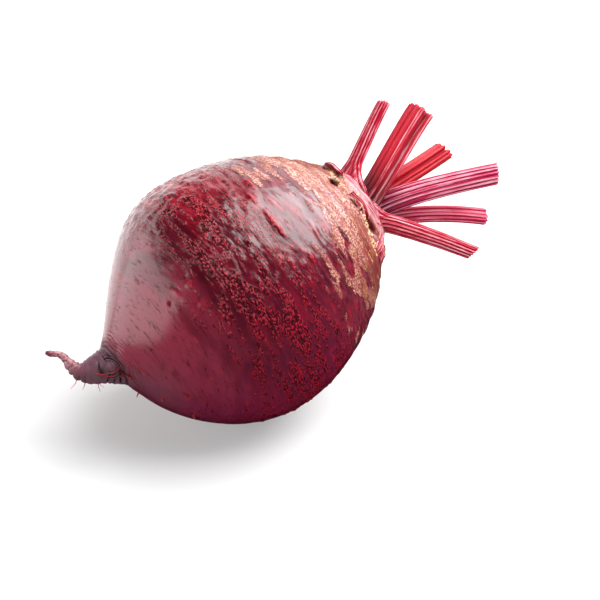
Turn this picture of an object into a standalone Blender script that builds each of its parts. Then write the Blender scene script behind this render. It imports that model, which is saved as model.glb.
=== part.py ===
"""A whole beetroot lying on its side: the swollen root with its tail and crown, and six cut leaf stalks.

The root, its crown and its tail grew as one piece, so they are one solid, and each leaf stalk is its own.
Everything is modelled upright, with the root's middle line on +Z, the crown on top and the tail bending
towards +X, and is then laid down. Sizes in the tables are millimetres and angles are degrees.
"""

from dataclasses import dataclass
from math import cos, exp, pi, radians, sin

import bmesh
import bpy
from mathutils import Matrix, Vector

MM = 0.001
UPRIGHT = Vector((0.0, 0.0, 1.0))
SIDEWAYS = Vector((0.0, 1.0, 0.0))

# How the root lies: turned about its own axis, then tipped so that the crown is raised
ROLL = 138.4
CROWN_RAISE = 20.0
FLAT_DEPTH = 0.9

# The root from the tail's tip to the crown: height, sideways bend, radius
ROOT_FORM = (
    (-64.9, 19.8, 0.5),
    (-64.4, 19.1, 0.9),
    (-63.2, 18.0, 1.0),
    (-61.7, 16.8, 1.1),
    (-60.9, 15.1, 1.3),
    (-60.6, 11.8, 1.9),
    (-59.5, 8.5, 2.8),
    (-57.3, 6.7, 4.0),
    (-54.2, 5.6, 5.0),
    (-51.4, 4.8, 5.9),
    (-49.0, 3.6, 7.4),
    (-46.8, 1.9, 10.8),
    (-43.6, -0.2, 16.2),
    (-38.5, -1.4, 22.9),
    (-31.0, -1.5, 30.6),
    (-22.5, -0.9, 37.2),
    (-12.5, -0.2, 42.0),
    (0.0, 0.0, 43.5),
    (12.0, 0.0, 41.8),
    (22.0, 0.0, 38.4),
    (31.0, 0.0, 33.8),
    (38.5, 0.0, 28.0),
    (44.5, 0.0, 22.0),
    (48.5, 0.0, 18.0),
    (51.0, 0.0, 15.2),
    (52.6, 0.0, 12.6),
    (53.5, 0.0, 9.0),
    (53.9, 0.0, 4.5),
    (54.0, 0.0, 0.8),
)
RINGS_PER_ROW = 3
ROOT_SIDES = 44

# The tail's sections are square to its bend, and turn level over this stretch of heights
SECTIONS_LEVEL = (-53.0, -48.0)

# Broad waves that keep the belly from being a turned shape, and the low ridges that ring it towards the crown
BELLY_WAVE = 0.35
GROWTH_RIDGE = 0.28
GROWTH_RIDGE_SPACING = 5.2
GROWTH_RIDGES_FROM = 14.0

# The scars of old leaves, in staggered rows down from the crown's top: height and relief of each row
LEAF_SCARS = 9
SCAR_ROWS = ((51.0, 1.5), (47.4, 1.2), (43.8, 0.7))
SCAR_ROW_HALF = 1.7

# The wrinkles that ring the tail
TAIL_WRINKLE = 0.3
TAIL_WRINKLE_SPACING = 2.6
TAIL_WRINKLES_UNDER = -46.0

# Single lumps and dents: height, turn, half length up the root, half width round it, rise
SWELLINGS = (
    (48.6, 36.0, 1.5, 4.0, 1.0),
    (42.4, 64.0, 1.3, 1.5, -1.0),
    (46.0, 92.0, 3.0, 3.2, 1.3),
    (48.4, 117.0, 2.2, 2.6, -0.8),
    (44.0, 131.0, 3.6, 2.4, 0.9),
    (46.4, 205.0, 2.6, 3.4, 1.0),
    (45.5, 292.0, 2.2, 3.6, 1.1),
    (-50.9, 100.0, 1.7, 1.9, 1.1),
    (-48.4, 129.0, 1.1, 1.7, -0.9),
    (-49.6, 262.0, 1.5, 2.2, 0.7),
)

# The side roots that still show: height on the root, turn round it, length, thickness, droop
ROOTLETS = (
    (-59.5, 169.0, 3.4, 0.7, -0.5),
    (-58.1, 183.0, 2.2, 0.8, -0.3),
    (-55.3, 188.0, 2.4, 0.9, 0.2),
    (-49.0, 131.0, 2.2, 0.9, 0.4),
    (-46.0, 152.0, 1.6, 1.0, 0.3),
    (-43.6, 155.0, 1.4, 1.1, 0.3),
    (-38.5, 139.0, 1.4, 1.1, 0.3),
    (-37.6, 170.0, 1.6, 1.0, 0.3),
    (-53.0, 296.0, 3.0, 0.8, 0.4),
    (-44.0, 312.0, 2.4, 0.9, 0.4),
    (-35.0, 330.0, 1.8, 0.9, 0.3),
)
ROOTLET_SIDES = 5
ROOTLET_SUNK = 1.5
ROOTLET_TAPER = 0.55

# What keeps the leaf stalks clear of the crown, and where the crown starts
CLEARANCE = 0.35
CROWN_FROM = 40.0


@dataclass
class Stalk:
    """One leaf stalk. Its outer side looks along a turn round the crown, first at the foot, then above it."""

    name: str
    line: tuple  # four points that its middle line bends along, from inside the crown to the cut
    width: tuple  # above the foot, and at the cut
    thickness: float
    ribs: int
    looks: tuple
    sheath: tuple  # how much further the clasping foot reaches, to lower and to higher turns
    channel: float  # depth of the groove down its inner side
    slant: float  # of the cut, from one side to the other


STALKS = (
    Stalk(
        "stalk_upper_near",
        ((8.9, 5.0, 50.6), (10.6, 5.4, 56.8), (18.0, 7.2, 67.6), (22.8, 8.5, 77.8)),
        (5.8, 4.1), 3.8, 9, (28.0, 40.0), (3.2, 6.2), 0.6, 0.25,
    ),
    Stalk(
        "stalk_upper_middle",
        ((-1.6, 4.4, 51.6), (2.0, 4.6, 62.0), (10.2, 2.8, 79.1), (13.7, 1.9, 89.7)),
        (8.2, 8.9), 5.4, 9, (262.0, 265.0), (0.6, 0.6), 1.6, -0.1,
    ),
    Stalk(
        "stalk_back",
        ((1.0, -8.6, 51.6), (-0.8, -6.8, 63.0), (-1.5, -13.3, 82.4), (-1.6, -19.4, 95.8)),
        (6.4, 6.7), 4.6, 9, (275.0, 270.0), (0.6, 0.6), 0.9, -0.35,
    ),
    Stalk(
        "stalk_middle",
        ((-4.0, -2.6, 52.0), (-3.6, -1.5, 63.4), (-12.4, -0.5, 84.4), (-18.8, 0.2, 99.3)),
        (7.9, 7.0), 5.0, 12, (100.0, 100.0), (0.3, 0.3), 0.9, -0.15,
    ),
    Stalk(
        "stalk_lower_back",
        ((-7.8, -8.6, 51.2), (-7.2, -8.2, 61.0), (-18.4, -9.4, 78.8), (-28.4, -14.5, 92.0)),
        (5.6, 6.0), 4.3, 10, (232.0, 240.0), (0.6, 0.6), 0.8, 0.1,
    ),
    Stalk(
        "stalk_lower_near",
        ((-7.2, 8.6, 50.2), (-10.0, 8.6, 54.2), (-25.5, 7.0, 66.2), (-35.7, 6.0, 73.3)),
        (6.6, 4.6), 4.6, 12, (130.0, 110.0), (6.4, 3.0), 0.7, -0.5,
    ),
)
SIDES_PER_RIB = 3
RIB_DEPTH = 0.28
STALK_SHARES = (0.0, 0.05, 0.1, 0.15, 0.21, 0.3, 0.45, 0.62, 0.8, 1.0)

# Shares of a stalk's length over which the foot's sheath ends, and over which the stalk turns as it leaves it
SHEATH_ENDS = (0.07, 0.23)
FOOT_TURNS_BY = 0.3

# The sheath curls as the crown does, but no tighter than this. The channel is this share of a stalk's width
TIGHTEST_CURL = 11.0
CHANNEL_SHARE = 0.3

SKIN_COLOUR = (0.105, 0.012, 0.026)
STALK_COLOUR = (0.42, 0.03, 0.075)
SKIN_ROUGHNESS = 0.34
STALK_ROUGHNESS = 0.42


def clear_scene():
    for thing in list(bpy.data.objects):
        bpy.data.objects.remove(thing, do_unlink=True)


def plain_material(name, colour, roughness):
    material = bpy.data.materials.new(name)
    material.use_nodes = True
    shader = material.node_tree.nodes["Principled BSDF"]
    shader.inputs["Base Color"].default_value = (*colour, 1.0)
    shader.inputs["Roughness"].default_value = roughness
    shader.inputs["Metallic"].default_value = 0.0
    return material


def ease(value, low, high):
    """0 below low, 1 above high, and a smooth step between them."""
    share = min(max((value - low) / (high - low), 0.0), 1.0)
    return share * share * (3.0 - 2.0 * share)


def smooth_rows(rows, steps):
    """The rows of a table with steps rows for each gap, read from a smooth curve through them."""
    points = [Vector(row) for row in rows]
    chords = [(b - a).length for a, b in zip(points, points[1:])]
    rates = [(b - a) / chord for a, b, chord in zip(points, points[1:], chords)]
    slopes = [rates[0]]
    for before, after, rate, next_rate in zip(chords, chords[1:], rates, rates[1:]):
        slopes.append((rate * after + next_rate * before) / (before + after))
    slopes.append(rates[-1])
    found = []
    for i, chord in enumerate(chords):
        for step in range(steps):
            t = step / steps
            found.append(
                points[i] * (2 * t**3 - 3 * t**2 + 1)
                + slopes[i] * chord * (t**3 - 2 * t**2 + t)
                + points[i + 1] * (3 * t**2 - 2 * t**3)
                + slopes[i + 1] * chord * (t**3 - t**2)
            )
    return found + [points[-1]]


def loft(name, rings, material):
    """One closed skin through the rings, drawn out from the first ring edge by edge, with its ends filled."""
    bm = bmesh.new()
    corners = bmesh.ops.create_circle(bm, segments=len(rings[0]), radius=1.0)["verts"]
    edges = list(bm.edges)
    for corner, place in zip(corners, rings[0]):
        corner.co = place
    bmesh.ops.contextual_create(bm, geom=edges)
    for ring in rings[1:]:
        drawn = bmesh.ops.extrude_edge_only(bm, edges=edges)["geom"]
        edges = [part for part in drawn if isinstance(part, bmesh.types.BMEdge)]
        new_corners = [part for part in drawn if isinstance(part, bmesh.types.BMVert)]
        for corner, place in zip(new_corners, ring):
            corner.co = place
    bmesh.ops.contextual_create(bm, geom=edges)
    bmesh.ops.recalc_face_normals(bm, faces=bm.faces)
    return new_object(name, bm, material)


def new_object(name, bm, material):
    mesh = bpy.data.meshes.new(name)
    bm.to_mesh(mesh)
    bm.free()
    mesh.materials.append(material)
    mesh.shade_smooth()
    thing = bpy.data.objects.new(name, mesh)
    bpy.context.scene.collection.objects.link(thing)
    return thing


def skin_relief(height, turn, radius):
    """How far the skin stands out from the root's plain form, in millimetres."""
    waves = BELLY_WAVE * sin(2 * turn + 0.8) * cos(height / 17.0 + 0.6)
    waves += 0.5 * BELLY_WAVE * sin(3 * turn - height / 11.0)
    waves *= ease(height, -46.0, -20.0) * (1 - ease(height, 40.0, 50.0))
    wander = 0.9 * sin(2 * turn + 0.5) + 0.6 * sin(5 * turn)
    ridges = GROWTH_RIDGE * sin(2 * pi * height / GROWTH_RIDGE_SPACING + wander)
    ridges *= ease(height, GROWTH_RIDGES_FROM, 36.0) * (1 - ease(height, 44.0, 48.0))
    return waves + ridges + leaf_scars(height, turn) + swellings(height, turn, radius)


def leaf_scars(height, turn):
    """Rounded scars side by side in each row, with narrow clefts between them."""
    relief = 0.0
    for row, (centre, rise) in enumerate(SCAR_ROWS):
        scar = abs(sin(LEAF_SCARS * turn / 2 + row * pi / 2)) - 0.6
        relief += rise * scar * exp(-(((height - centre) / SCAR_ROW_HALF) ** 2))
    return relief


def swellings(height, turn, radius):
    relief = 0.0
    for centre, at_turn, half_length, half_width, rise in SWELLINGS:
        round_by = (turn - radians(at_turn) + pi) % (2 * pi) - pi
        apart = ((height - centre) / half_length) ** 2 + (round_by * radius / half_width) ** 2
        relief += rise * exp(-apart)
    return relief


def tail_wrinkles(travel, height, turn, radius):
    """The rings round the tail, by how far along the tail they are."""
    rings = sin(2 * pi * travel / TAIL_WRINKLE_SPACING + 0.8 * sin(turn + 0.4 * travel))
    depth = TAIL_WRINKLE * min(radius / 4.0, 1.0)
    return rings * depth * (1 - ease(height, TAIL_WRINKLES_UNDER - 4.0, TAIL_WRINKLES_UNDER + 3.0))


def root_frames():
    """The root's sections: height, middle, the way across, radius, and how far along from the tail's tip."""
    rows = smooth_rows(ROOT_FORM, RINGS_PER_ROW)
    middles = [Vector((bend, 0.0, height)) for height, bend, _ in rows]
    frames = []
    travel = 0.0
    for i, (height, _, radius) in enumerate(rows):
        along = (middles[min(i + 1, len(rows) - 1)] - middles[max(i - 1, 0)]).normalized()
        along = along.lerp(UPRIGHT, ease(height, *SECTIONS_LEVEL)).normalized()
        travel += (middles[i] - middles[i - 1]).length if i else 0.0
        frames.append((height, middles[i], SIDEWAYS.cross(along), radius, travel))
    return frames


def root_rings():
    """The root's rings, square to the bending tail and level in the body."""
    rings = []
    for height, middle, across, radius, travel in root_frames():
        ring = []
        for side in range(ROOT_SIDES):
            turn = 2 * pi * side / ROOT_SIDES
            reach = radius + skin_relief(height, turn, radius) + tail_wrinkles(travel, height, turn, radius)
            ring.append((middle + (across * cos(turn) + SIDEWAYS * sin(turn)) * reach) * MM)
        rings.append(ring)
    return rings


def rootlet(number, height, turn, length, thickness, droop, material):
    """A side root: a bent cone that tapers to a blunt end, sunk well into the skin it grows from."""
    _, middle, across, radius, _ = min(root_frames(), key=lambda frame: abs(frame[0] - height))
    outward = across * cos(radians(turn)) + SIDEWAYS * sin(radians(turn))
    tailward = Vector((0.0, 0.0, -1.0))
    sideways = outward.cross(tailward).normalized()
    upright = sideways.cross(outward)
    rings = []
    for share in (0.0, 0.35, 0.7, 1.0):
        reach = radius - ROOTLET_SUNK + (length + ROOTLET_SUNK) * share
        centre = middle + outward * reach - upright * droop * length * share**2
        half = 0.5 * thickness * (1.0 - ROOTLET_TAPER * share)
        turns = [2 * pi * side / ROOTLET_SIDES for side in range(ROOTLET_SIDES)]
        rings.append([(centre + (sideways * cos(t) + upright * sin(t)) * half) * MM for t in turns])
    return loft(f"rootlet_{number}", rings, material)


def join_all(target, things):
    """Fuses the things into the target, and removes them."""
    group = bpy.data.collections.new("to_join")
    bpy.context.scene.collection.children.link(group)
    for thing in things:
        group.objects.link(thing)
        bpy.context.scene.collection.objects.unlink(thing)
    fuse = target.modifiers.new("side_roots", "BOOLEAN")
    fuse.operation = "UNION"
    fuse.operand_type = "COLLECTION"
    fuse.collection = group
    apply_modifiers(target)
    for thing in things:
        bpy.data.objects.remove(thing, do_unlink=True)
    bpy.data.collections.remove(group)


def apply_modifiers(thing):
    graph = bpy.context.evaluated_depsgraph_get()
    finished = bpy.data.meshes.new_from_object(thing.evaluated_get(graph))
    thing.modifiers.clear()
    thing.data = finished


def crown_cutter(rings, material):
    """The crown grown by the clearance, to trim the stalks' feet with."""
    crown = [ring for ring in rings if ring[0].z > CROWN_FROM * MM]
    cutter = loft("crown_cutter", crown, material)
    bm = bmesh.new()
    bm.from_mesh(cutter.data)
    grown = [corner.co + corner.normal * CLEARANCE * MM for corner in bm.verts]
    for corner, place in zip(bm.verts, grown):
        corner.co = place
    bm.to_mesh(cutter.data)
    bm.free()
    cutter.hide_render = True
    cutter.display_type = "WIRE"
    return cutter


def bezier(points, share):
    """The point and the direction at a share of a curve bent along four points."""
    a, b, c, d = (Vector(point) for point in points)
    rest = 1.0 - share
    place = a * rest**3 + b * 3 * rest**2 * share + c * 3 * rest * share**2 + d * share**3
    along = (b - a) * rest**2 + (c - b) * 2 * rest * share + (d - c) * share**2
    return place, along.normalized()


def stalk_ring(stalk, share):
    """One section of a stalk: a ribbed oval with a channel inside, curled round the crown at its foot."""
    middle, along = bezier(stalk.line, share)
    foot_look, upper_look = stalk.looks
    look = radians(foot_look + (upper_look - foot_look) * ease(share, 0.0, FOOT_TURNS_BY))
    outward = Vector((cos(look), sin(look), 0.0))
    outward = (outward - along * outward.dot(along)).normalized()
    sideways = along.cross(outward)
    width = stalk.width[0] + (stalk.width[1] - stalk.width[0]) * share
    foot = 1.0 - ease(share, *SHEATH_ENDS)
    curl = foot / max(Vector(stalk.line[0][:2]).length, TIGHTEST_CURL)
    sides = SIDES_PER_RIB * stalk.ribs
    ring = []
    for side in range(sides):
        turn = 2 * pi * side / sides
        reach = 0.5 * width + foot * stalk.sheath[1 if cos(turn) > 0 else 0]
        rib = -RIB_DEPTH * cos(stalk.ribs * turn)
        across = (reach + rib) * cos(turn)
        out = (0.5 * stalk.thickness + rib) * sin(turn)
        if sin(turn) < 0:
            out += stalk.channel * exp(-((across / (CHANNEL_SHARE * width)) ** 2)) * (1 - foot)
        if curl:
            round_by = curl * across
            from_centre = 1 / curl + out
            across = from_centre * sin(round_by)
            out = from_centre * cos(round_by) - 1 / curl
        cut = stalk.slant * across * (share == 1.0)
        ring.append((middle + sideways * across + outward * out + along * cut) * MM)
    return ring


def leaf_stalk(stalk, cutter, material):
    """One fluted stalk from the crown to its cut end, its foot trimmed to lie over the crown."""
    thing = loft(stalk.name, [stalk_ring(stalk, share) for share in STALK_SHARES], material)
    trim = thing.modifiers.new("sits_on_crown", "BOOLEAN")
    trim.operation = "DIFFERENCE"
    trim.object = cutter
    return thing


def lying_pose(rings):
    """Lays the root down with its lowest point over the origin, sunk by the flat's depth."""
    turned = Matrix.Rotation(radians(90.0 - CROWN_RAISE), 4, "Y") @ Matrix.Rotation(radians(ROLL), 4, "Z")
    lowest = min((turned @ point for ring in rings for point in ring), key=lambda point: point.z)
    return Matrix.Translation((-lowest.x, -lowest.y, -lowest.z - FLAT_DEPTH * MM)) @ turned


def rest_flat(root, pose):
    """Cuts the root's underside off along the surface that it rests on."""
    bm = bmesh.new()
    bm.from_mesh(root.data)
    onto = pose.inverted()
    up = onto.to_3x3() @ UPRIGHT
    everything = [*bm.verts, *bm.edges, *bm.faces]
    bmesh.ops.bisect_plane(
        bm, geom=everything, dist=1e-7, plane_co=onto.to_translation(), plane_no=up, clear_inner=True
    )
    rim = [edge for edge in bm.edges if edge.is_boundary]
    bmesh.ops.contextual_create(bm, geom=rim)
    bmesh.ops.recalc_face_normals(bm, faces=bm.faces)
    bm.to_mesh(root.data)
    bm.free()


def build():
    clear_scene()
    skin = plain_material("beet_skin", SKIN_COLOUR, SKIN_ROUGHNESS)
    stalk_flesh = plain_material("stalk_flesh", STALK_COLOUR, STALK_ROUGHNESS)
    rings = root_rings()
    root = loft("beet_root", rings, skin)
    join_all(root, [rootlet(i, *row, skin) for i, row in enumerate(ROOTLETS)])
    pose = lying_pose(rings)
    rest_flat(root, pose)
    cutter = crown_cutter(rings, skin)
    stalks = [leaf_stalk(stalk, cutter, stalk_flesh) for stalk in STALKS]
    beetroot = bpy.data.objects.new("beetroot", None)
    bpy.context.scene.collection.objects.link(beetroot)
    for thing in (root, cutter, *stalks):
        thing.parent = beetroot
    beetroot.matrix_world = pose


build()
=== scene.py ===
# %% [markdown]
# # A beetroot on its side
#
# A whole beetroot is one swollen root: a round belly, a thin tail that went on down into the soil,
# and a crown on top that the leaves grew from. Here the leaves are cut, and six stalks are left.
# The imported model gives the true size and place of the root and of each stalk. This lesson makes
# finer skins for them in the same place, and the finishes that the eye knows a beetroot by.

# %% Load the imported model
from math import cos, exp, pi, radians, sin
from random import Random

import bmesh
import bpy
import numpy as np
from mathutils import Matrix, Vector, noise


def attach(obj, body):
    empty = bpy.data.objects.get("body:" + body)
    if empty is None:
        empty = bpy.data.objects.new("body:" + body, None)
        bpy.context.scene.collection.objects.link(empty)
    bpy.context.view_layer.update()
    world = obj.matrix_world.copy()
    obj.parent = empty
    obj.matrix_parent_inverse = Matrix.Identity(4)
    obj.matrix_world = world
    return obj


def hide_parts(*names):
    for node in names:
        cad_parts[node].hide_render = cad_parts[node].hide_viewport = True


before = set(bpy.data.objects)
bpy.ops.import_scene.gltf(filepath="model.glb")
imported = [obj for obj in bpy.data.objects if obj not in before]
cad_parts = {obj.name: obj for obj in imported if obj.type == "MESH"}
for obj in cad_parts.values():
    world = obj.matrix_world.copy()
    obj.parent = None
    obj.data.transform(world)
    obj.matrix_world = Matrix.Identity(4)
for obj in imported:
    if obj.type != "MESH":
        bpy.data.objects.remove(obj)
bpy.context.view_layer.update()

print("nodes:", sorted(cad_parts))

# %% [markdown]
# ## Upright first, then laid down
#
# A root is easiest to describe upright, as it grew: heights run along +Z from the tail to the crown,
# and turns go round it, so that turn 90 faces the camera. Each piece is made that way in millimetres.
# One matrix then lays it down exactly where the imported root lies, on its belly with the crown raised.

# %% The lying pose
MM = 0.001
UPRIGHT = Vector((0.0, 0.0, 1.0))
SIDEWAYS = Vector((0.0, 1.0, 0.0))
ROLL = 138.4
CROWN_RAISE = 20.0
BELLY_CENTRE = Vector((0.85, 0.76, 43.41))
LYING = (
    Matrix.Translation(BELLY_CENTRE * MM)
    @ Matrix.Rotation(radians(90.0 - CROWN_RAISE), 4, "Y")
    @ Matrix.Rotation(radians(ROLL), 4, "Z")
    @ Matrix.Scale(MM, 4)
)
print("the middle of the belly lies", BELLY_CENTRE.z, "mm over the floor")

# %% [markdown]
# ## From points to a finished piece
#
# Every piece ends in the same way: its faces turn outwards, each point notes where it grew, and the mesh
# is laid down and gets its finish. A pattern that reads where a point grew keeps to the upright form.
# Numbers that differ from point to point, such as how thick the cork is, are painted on as named layers.


# %% Helpers for every piece
def ease(value, low, high):
    """0 below low, 1 above high, and a smooth step between them. It takes one number or an array."""
    share = np.clip((value - low) / (high - low), 0.0, 1.0)
    return share * share * (3.0 - 2.0 * share)


def lay_down(name, bm, material):
    """Turns an upright bmesh in millimetres into a finished piece, and keeps where each point grew."""
    # Blender's operators leave the faces in an order that changes from run to run, so they are sorted.
    bm.verts.index_update()
    by_points = sorted(bm.faces, key=lambda face: sorted(vert.index for vert in face.verts))
    rank = {face: number for number, face in enumerate(by_points)}
    bm.faces.sort(key=rank.get)
    bmesh.ops.recalc_face_normals(bm, faces=bm.faces)
    mesh = bpy.data.meshes.new(name)
    bm.to_mesh(mesh)
    bm.free()
    grown = np.empty(len(mesh.vertices) * 3, np.float32)
    mesh.vertices.foreach_get("co", grown)
    mesh.attributes.new("grown", "FLOAT_VECTOR", "POINT").data.foreach_set("vector", grown)
    mesh.transform(LYING)
    mesh.materials.append(material)
    mesh.shade_smooth()
    piece = bpy.data.objects.new(name, mesh)
    bpy.context.scene.collection.objects.link(piece)
    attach(piece, "root")
    print(name, len(mesh.polygons), "faces")
    return piece


def paint(piece, **layers):
    """Stores one number per point under each name, for a material to read."""
    for name, values in layers.items():
        layer = piece.data.attributes.new(name, "FLOAT", "POINT")
        layer.data.foreach_set("value", np.asarray(values, np.float32))


# %% [markdown]
# ## Adding a node
#
# Every material below is a small graph. One helper adds a node, sets its own properties and fills or
# links its inputs, so that each line of a material reads as one step.


# %% Helpers for materials
def linear(hex_colour):
    """An sRGB hex colour as the linear red, green, blue and alpha that shaders work in."""
    channels = [int(hex_colour[i : i + 2], 16) / 255 for i in (1, 3, 5)]
    return (*[c / 12.92 if c <= 0.04045 else ((c + 0.055) / 1.055) ** 2.4 for c in channels], 1.0)


def add(tree, kind, inputs=(), out=0, **settings):
    """Adds a node with its settings, fills or links its inputs, and gives back one of its outputs."""
    made = tree.nodes.new("ShaderNode" + kind)
    for name, value in settings.items():
        setattr(made, name, value)
    for name, value in inputs.items() if isinstance(inputs, dict) else enumerate(inputs):
        if isinstance(value, bpy.types.NodeSocket):
            tree.links.new(value, made.inputs[name])
        else:
            made.inputs[name].default_value = value
    return made.outputs[out]


def new_finish(name):
    """A material with only its output and a Principled shader, and the graph they stand in."""
    material = bpy.data.materials.new(name)
    material.use_nodes = True
    return material, material.node_tree, material.node_tree.nodes["Principled BSDF"]


# %% [markdown]
# ## The skin
#
# Fresh beet skin is a thin cork over wine-red flesh. Low down it is smooth and mauve. Round the belly
# runs a belt of small beads, bright crimson on dark wine, in chains that follow the way the skin
# stretched. Towards the crown the cork thickens to tan flakes, finely netted with red. Where things
# are is worked out on the points of the skin and stored there. The finish adds what is finer than
# the points: it reads where each point grew, so that no pattern slides over the form.

# %% The skin's colours
WINE = "#360912"
WINE_LIGHT = "#5A1220"
WINE_DARK = "#26060C"
MAUVE = "#94283F"
VIOLET = "#601432"
BLUSH = "#843848"
CRIMSON = "#BA122A"
CORK_TAN = "#A66F54"
CORK_CREAM = "#CA9C84"
CORK_OCHRE = "#472518"
CORK_GOLD = "#D0985A"
CORK_RED = "#781C2E"
SCAR_PALE = "#D3A0A2"
# The pit colour: dark pores, and painted shade in folds, hollows and pits.
PIT_DARK_AND_SHADE = "#16080B"
FLESH_DARK = "#740C20"
TAIL_MAUVE = "#6A414F"

# %% [markdown]
# ## Patterns with a real size
#
# A noise could be laid on in units of its own, but then nobody could say how large a bead is. Here each
# pattern has its width and height on the skin in millimetres, and a Mapping node turns them into its
# scale. Real netting and beads are down to 0.3 mm. A pixel of the picture is a third of a millimetre,
# so they are drawn about twice as coarse, or they would not show.

# %% Sizes of the skin's patterns
# Width and height in millimetres, then detail and roughness.
SKIN_PATTERNS = {
    "blotches": (14.0, 5.0, 5.0, 0.55),
    "fibres": (4.5, 0.77, 5.0, 0.65),
    "grit": (0.77, 0.53, 3.0, 0.60),
    "netting": (0.69, 0.53, 1.0, 0.55),
}
BEAD_WIDE, BEAD_HIGH = 1.14, 0.50
BEADS_ROUGHENED = 1.5
# The layers that are painted on the points of the skin further down.
SKIN_LAYERS = (
    "beads", "cork", "crimson", "pit", "pale", "violet", "mauve", "tail", "ochre", "blush", "flesh",
)
# Each step turns a pattern into a share: its name and source, the values it runs between, and the shares.
SMOOTH = {"interpolation_type": "SMOOTHSTEP"}
SKIN_STEPS = (
    ("bead", "uneven", 1.32, 0.92, 0.0, 0.62),
    ("outline", "uneven", 1.10, 1.40, 0.0, 0.75),
    ("lighter", "blotches", 0.36, 0.66, 0.0, 0.8),
    ("threads", "fibres", 0.50, 0.66, 0.0, 0.7),
    ("flushed", "fibres", 0.35, 0.65, 0.0, 1.0),
    ("glow", "fibres", 0.22, 0.58, 0.0, 1.0),
    ("speck", "grit", 0.10, 0.60, 0.6, 1.0),
    ("scratch", "grit", 0.36, 0.56, 0.0, 1.0),
    ("patchy", "grit", 0.40, 0.56, 0.60, 1.0),
    ("golden", "fibres", 0.46, 0.39, 0.0, 1.0),
    ("cream", "blotches", 0.40, 0.62, 0.0, 1.0),
    ("net", "netting", 0.44, 0.54, 0.0, 0.95),
    ("grain", "netting", 0.46, 0.60, 0.0, 0.45),
    ("strands", "fibres", 0.50, 0.66, 0.0, 0.9),
)


def skin_parts(tree):
    """What the skin's finish is mixed from: its painted layers, its patterns and their shares."""
    part = {name: add(tree, "Attribute", out=2, attribute_name=name) for name in SKIN_LAYERS}
    grown = add(tree, "Attribute", out=1, attribute_name="grown")
    for name, (wide, high, detail, rough) in SKIN_PATTERNS.items():
        scaled = add(tree, "Mapping", {"Vector": grown, "Scale": (1 / wide, 1 / wide, 1 / high)})
        noisy = {"Vector": scaled, "Scale": 1.0, "Detail": detail, "Roughness": rough}
        part[name] = add(tree, "TexNoise", noisy)
    bead_scale = (1 / BEAD_WIDE, 1 / BEAD_WIDE, 1 / BEAD_HIGH)
    scaled = add(tree, "Mapping", {"Vector": grown, "Scale": bead_scale})
    cells = add(tree, "TexVoronoi", {"Vector": scaled, "Scale": 1.0})
    part["uneven"] = add(tree, "Math", (part["grit"], BEADS_ROUGHENED, cells), operation="MULTIPLY_ADD")
    for name, source, low, high, least, most in SKIN_STEPS:
        part[name] = add(tree, "MapRange", (part[source], low, high, least, most), **SMOOTH)
    return part


# %% [markdown]
# ## Coats of colour
#
# The skin is painted as it is built up: wine-red flesh lowest, then mauve, violet and crimson, the cork
# as one coat, and scars and pits on top, the pits also holding painted shade in folds and hollows. A ramp
# over one noise would be shorter, but it can't let the cork hide the beads. How far a coat shows is where
# it belongs, times the pattern that breaks it up.


# %% How far each coat shows
def skin_shares(tree, part):
    """The chains that beads stand in, the flaky cork, and the share of each coat that is broken up."""
    chained = add(tree, "Math", (part["fibres"], 2.4, part["beads"]), operation="MULTIPLY_ADD")
    chain = add(tree, "MapRange", (chained, 1.40, 1.74), **SMOOTH)
    flaky = add(tree, "Math", (part["grit"], 1.6, -0.05), operation="MULTIPLY_ADD")
    flaky = add(tree, "Math", (flaky, part["cork"]), operation="MULTIPLY")
    share = {"chain": chain, "cork": add(tree, "MapRange", (flaky, 0.20, 0.56), **SMOOTH)}
    for name, operation, first, second in (
        ("mauve", "MULTIPLY", part["mauve"], part["speck"]),
        ("blush", "MULTIPLY", part["blush"], part["flushed"]),
        ("field", "MULTIPLY", part["crimson"], part["glow"]),
        ("beads", "MULTIPLY", chain, part["bead"]),
        ("grains", "MULTIPLY", part["beads"], part["grain"]),
        ("outline", "MULTIPLY", chain, part["outline"]),
        ("net", "MAXIMUM", part["net"], part["strands"]),
        ("ochre", "MULTIPLY", part["ochre"], part["patchy"]),
        ("gold", "MULTIPLY", part["ochre"], part["golden"]),
        ("pale", "MULTIPLY", part["pale"], part["scratch"]),
    ):
        share[name] = add(tree, "Math", (first, second), operation=operation)
    return share


def skin_colour(tree, part, share):
    """Mixes the cork first, and then every coat from the flesh outwards."""
    cork = linear(CORK_TAN)
    for top, cover in (
        (CORK_CREAM, part["cream"]),
        (CORK_OCHRE, share["ochre"]),
        (CORK_GOLD, share["gold"]),
        (CORK_RED, share["net"]),
    ):
        cork = add(tree, "Mix", {0: cover, 6: cork, 7: linear(top)}, 2, data_type="RGBA")
    colour = linear(WINE)
    for top, cover in (
        (linear(WINE_LIGHT), part["lighter"]),
        (linear(MAUVE), share["mauve"]),
        (linear(VIOLET), part["violet"]),
        (linear(WINE_LIGHT), part["threads"]),
        (linear(BLUSH), share["blush"]),
        (linear(CRIMSON), share["field"]),
        (linear(CRIMSON), share["grains"]),
        (linear(WINE_DARK), share["outline"]),
        (linear(CRIMSON), share["beads"]),
        (linear(TAIL_MAUVE), part["tail"]),
        (cork, share["cork"]),
        (linear(SCAR_PALE), share["pale"]),
        (linear(FLESH_DARK), part["flesh"]),
        # Pits on top: dark pores, and painted shade in folds and hollows.
        (linear(PIT_DARK_AND_SHADE), part["pit"]),
    ):
        colour = add(tree, "Mix", {0: cover, 6: colour, 7: top}, 2, data_type="RGBA")
    return colour


# %% [markdown]
# ## Gloss and fine relief
#
# A washed beet has a soft wax gloss where the skin is bare, and is dull and dry where the cork is thick.
# So the roughness grows with the cork and a little with the other layers. Beads and netting are finer
# than the mesh, and only bump gives them their tiny highlights at no cost in faces.

# %% The finish of the skin
GLOSSY, DULL = 0.18, 0.55
DULLED_BY = {"mauve": 0.3, "crimson": 0.45, "tail": 1.0}
CORK_DULLS = 0.42
BEAD_RISE = 0.42
CORK_RISE = 0.10


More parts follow.
